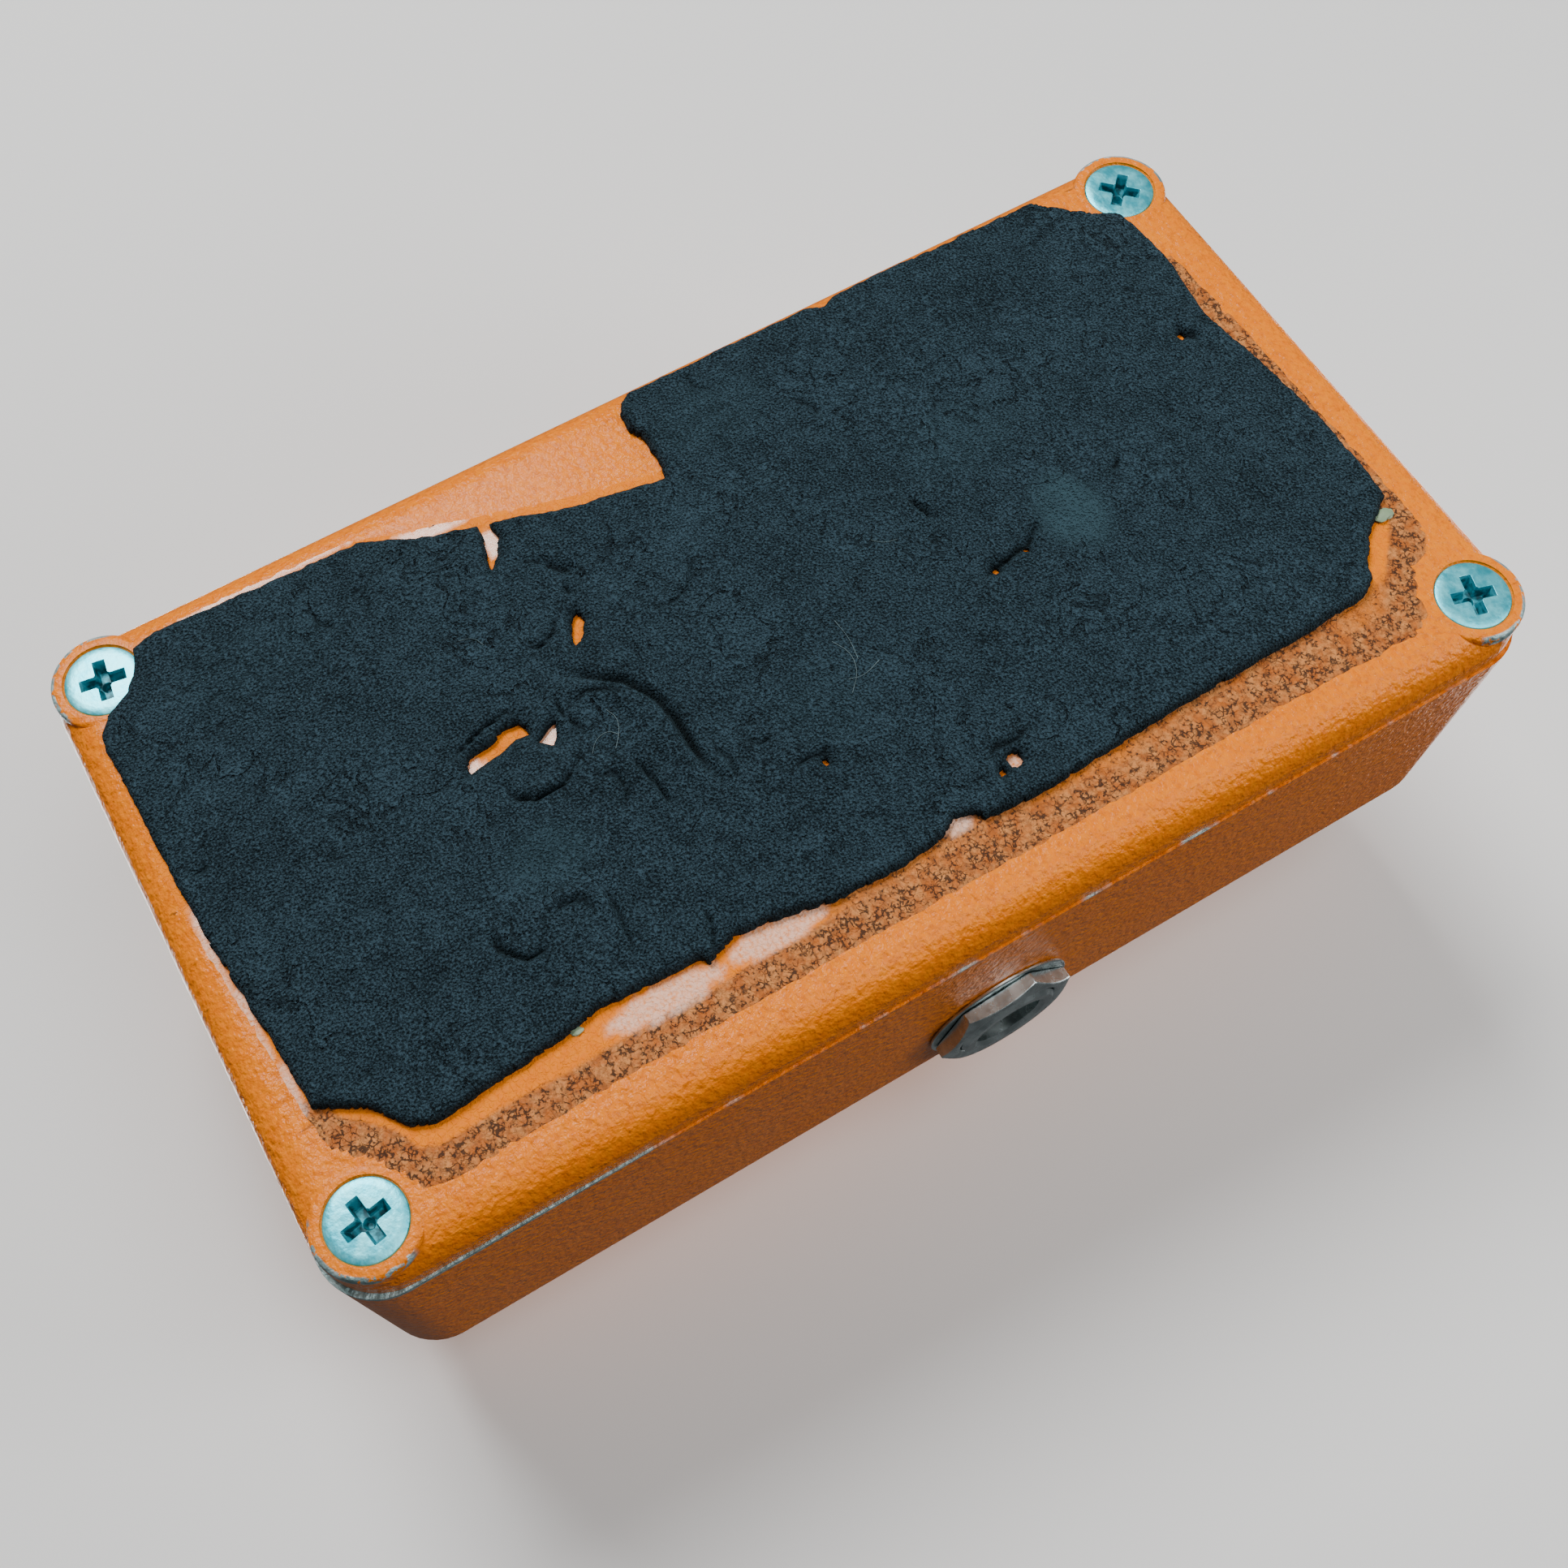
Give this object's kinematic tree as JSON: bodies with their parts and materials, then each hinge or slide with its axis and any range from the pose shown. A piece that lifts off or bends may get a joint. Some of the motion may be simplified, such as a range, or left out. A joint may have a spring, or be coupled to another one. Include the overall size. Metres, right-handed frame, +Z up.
{
  "type": "guitar effects pedal",
  "caption": "Compact guitar effects pedal in a die-cast box with a knob, a footswitch, side jacks and a worn foam pad under its screwed base plate.",
  "frame": {"origin": "middle of the pedal's footprint, on the underside of the foam pad that it stands on", "axes": "+Z up through the top panel, +Y towards the knob end, -X the output jack side, +X the input jack side"},
  "size_m": [0.0644, 0.111, 0.0485],
  "materials": {
    "orange_paint": "satin",
    "zinc_screws": "satin",
    "foam_rubber": "matte",
    "battery_foam": "matte",
    "knob_black": "satin",
    "steel_small": "satin",
    "nickel": "gloss",
    "chrome": "polished",
    "jack_nickel": "gloss",
    "fibre": "matte",
    "contact_brass": "satin",
    "black_plastic": "satin",
    "battery_case": "satin",
    "board_green": "satin",
    "film_yellow": "satin",
    "trimmer_blue": "satin",
    "wire_red": "satin",
    "wire_black": "satin",
    "wire_white": "satin"
  },
  "bodies": {
    "case": {"enclosure_body": "orange_paint", "base_plate": "orange_paint", "base_screw_1": "zinc_screws", "base_screw_2": "zinc_screws", "base_screw_3": "zinc_screws", "base_screw_4": "zinc_screws", "foam_pad": "foam_rubber", "battery_foam": "battery_foam", "switch_spring": "steel_small", "pot_bushing": "nickel", "pot_can": "nickel", "pot_washer": "nickel", "pot_nut": "nickel", "switch_frame": "nickel", "switch_lower_nut": "nickel", "switch_washer": "nickel", "switch_nut": "nickel", "output_jack_frame": "jack_nickel", "output_jack_washer": "jack_nickel", "output_jack_nut": "jack_nickel", "input_jack_frame": "jack_nickel", "input_jack_washer": "jack_nickel", "input_jack_nut": "jack_nickel", "pot_track": "fibre", "output_jack_insulator": "fibre", "input_jack_insulator": "fibre", "switch_terminals": "contact_brass", "switch_body": "black_plastic", "battery_snap": "black_plastic", "chip_1": "black_plastic", "chip_2": "black_plastic", "chip_3": "black_plastic", "transistor_1": "black_plastic", "transistor_2": "black_plastic", "transistor_3": "black_plastic", "transistor_4": "black_plastic", "electrolytic_capacitor": "black_plastic", "battery": "battery_case", "circuit_board": "board_green", "film_capacitor_1": "film_yellow", "film_capacitor_2": "film_yellow", "trimmer_base": "trimmer_blue", "battery_lead_red": "wire_red", "battery_lead_black": "wire_black", "output_wire": "wire_white", "input_wire": "wire_white", "effect_wire": "wire_white"},
    "knob": {"speed_knob": "knob_black", "knob_set_screw": "steel_small", "pot_shaft": "nickel"},
    "footswitch": {"switch_plunger": "chrome"},
    "trimmer": {"trimmer_rotor": "black_plastic"},
    "output_contact": {"output_tip_spring": "contact_brass"},
    "input_tip_contact": {"input_tip_spring": "contact_brass"},
    "input_ring_contact": {"input_ring_spring": "contact_brass"}
  },
  "joints": [
    {"name": "knob_turn", "type": "hinge", "parent": "case", "child": "knob", "pos_m": [0, 0.027, 0.04], "axis": [0, 0, 1], "range_deg": [-150, 150]},
    {"name": "footswitch_press", "type": "slide", "parent": "case", "child": "footswitch", "axis": [0, 0, -1], "range_m": [0, 0.003], "stiffness_N_per_m": 3000, "springref_m": -0.001, "deforming": ["switch_spring"]},
    {"name": "trimmer_turn", "type": "hinge", "parent": "case", "child": "trimmer", "pos_m": [0.014, 0.018, 0.01], "axis": [0, 0, 1], "range_deg": [-135, 135]},
    {"name": "output_tip_flex", "type": "hinge", "parent": "case", "child": "output_contact", "pos_m": [-0.01545, 0.0032, 0.01985], "axis": [0, 1, 0], "range_deg": [0, 7], "stiffness_Nm_per_rad": 0.3},
    {"name": "input_tip_flex", "type": "hinge", "parent": "case", "child": "input_tip_contact", "pos_m": [0.01545, 0.0032, 0.01985], "axis": [0, -1, 0], "range_deg": [0, 7], "stiffness_Nm_per_rad": 0.3},
    {"name": "input_ring_flex", "type": "hinge", "parent": "case", "child": "input_ring_contact", "pos_m": [0.01545, 0.0032, 0.01985], "axis": [0, -1, 0], "range_deg": [0, 7], "stiffness_Nm_per_rad": 0.3}
  ]
}
